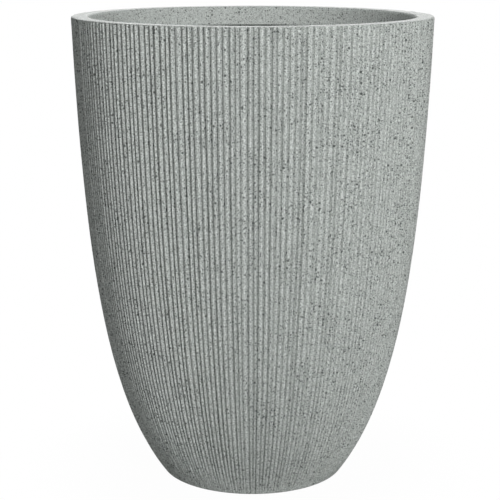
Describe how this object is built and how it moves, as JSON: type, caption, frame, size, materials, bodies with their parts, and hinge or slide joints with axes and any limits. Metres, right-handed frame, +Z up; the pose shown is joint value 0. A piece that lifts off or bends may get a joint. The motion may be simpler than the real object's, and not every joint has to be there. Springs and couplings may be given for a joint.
{
  "type": "tall round plastic planter",
  "caption": "Tall round planter with a vertically ribbed, stone-speckled wall, a folded rim and a narrow recessed foot with stoppered drain holes.",
  "frame": {"origin": "centre of the round base, on the ground that the foot ring stands on", "axes": "+Z up along the planter's axis, towards the mouth; +X and +Y lie between the drain holes"},
  "size_m": [0.4, 0.4, 0.522],
  "materials": {
    "stone_plastic": "matte, light grey with dark and light stone speckles",
    "stopper_rubber": "matt, slightly bloomed"
  },
  "bodies": {
    "planter": {"planter_body": "stone_plastic"},
    "stopper_1": {"drain_plug_1": "stopper_rubber"},
    "stopper_2": {"drain_plug_2": "stopper_rubber"},
    "stopper_3": {"drain_plug_3": "stopper_rubber"},
    "stopper_4": {"drain_plug_4": "stopper_rubber"}
  },
  "joints": [
    {"name": "stopper_1_lift", "type": "slide", "parent": "planter", "child": "stopper_1", "axis": [0, 0, 1], "range_m": [0, 0.55]},
    {"name": "stopper_2_lift", "type": "slide", "parent": "planter", "child": "stopper_2", "axis": [0, 0, 1], "range_m": [0, 0.55]},
    {"name": "stopper_3_lift", "type": "slide", "parent": "planter", "child": "stopper_3", "axis": [0, 0, 1], "range_m": [0, 0.55]},
    {"name": "stopper_4_lift", "type": "slide", "parent": "planter", "child": "stopper_4", "axis": [0, 0, 1], "range_m": [0, 0.55]}
  ]
}
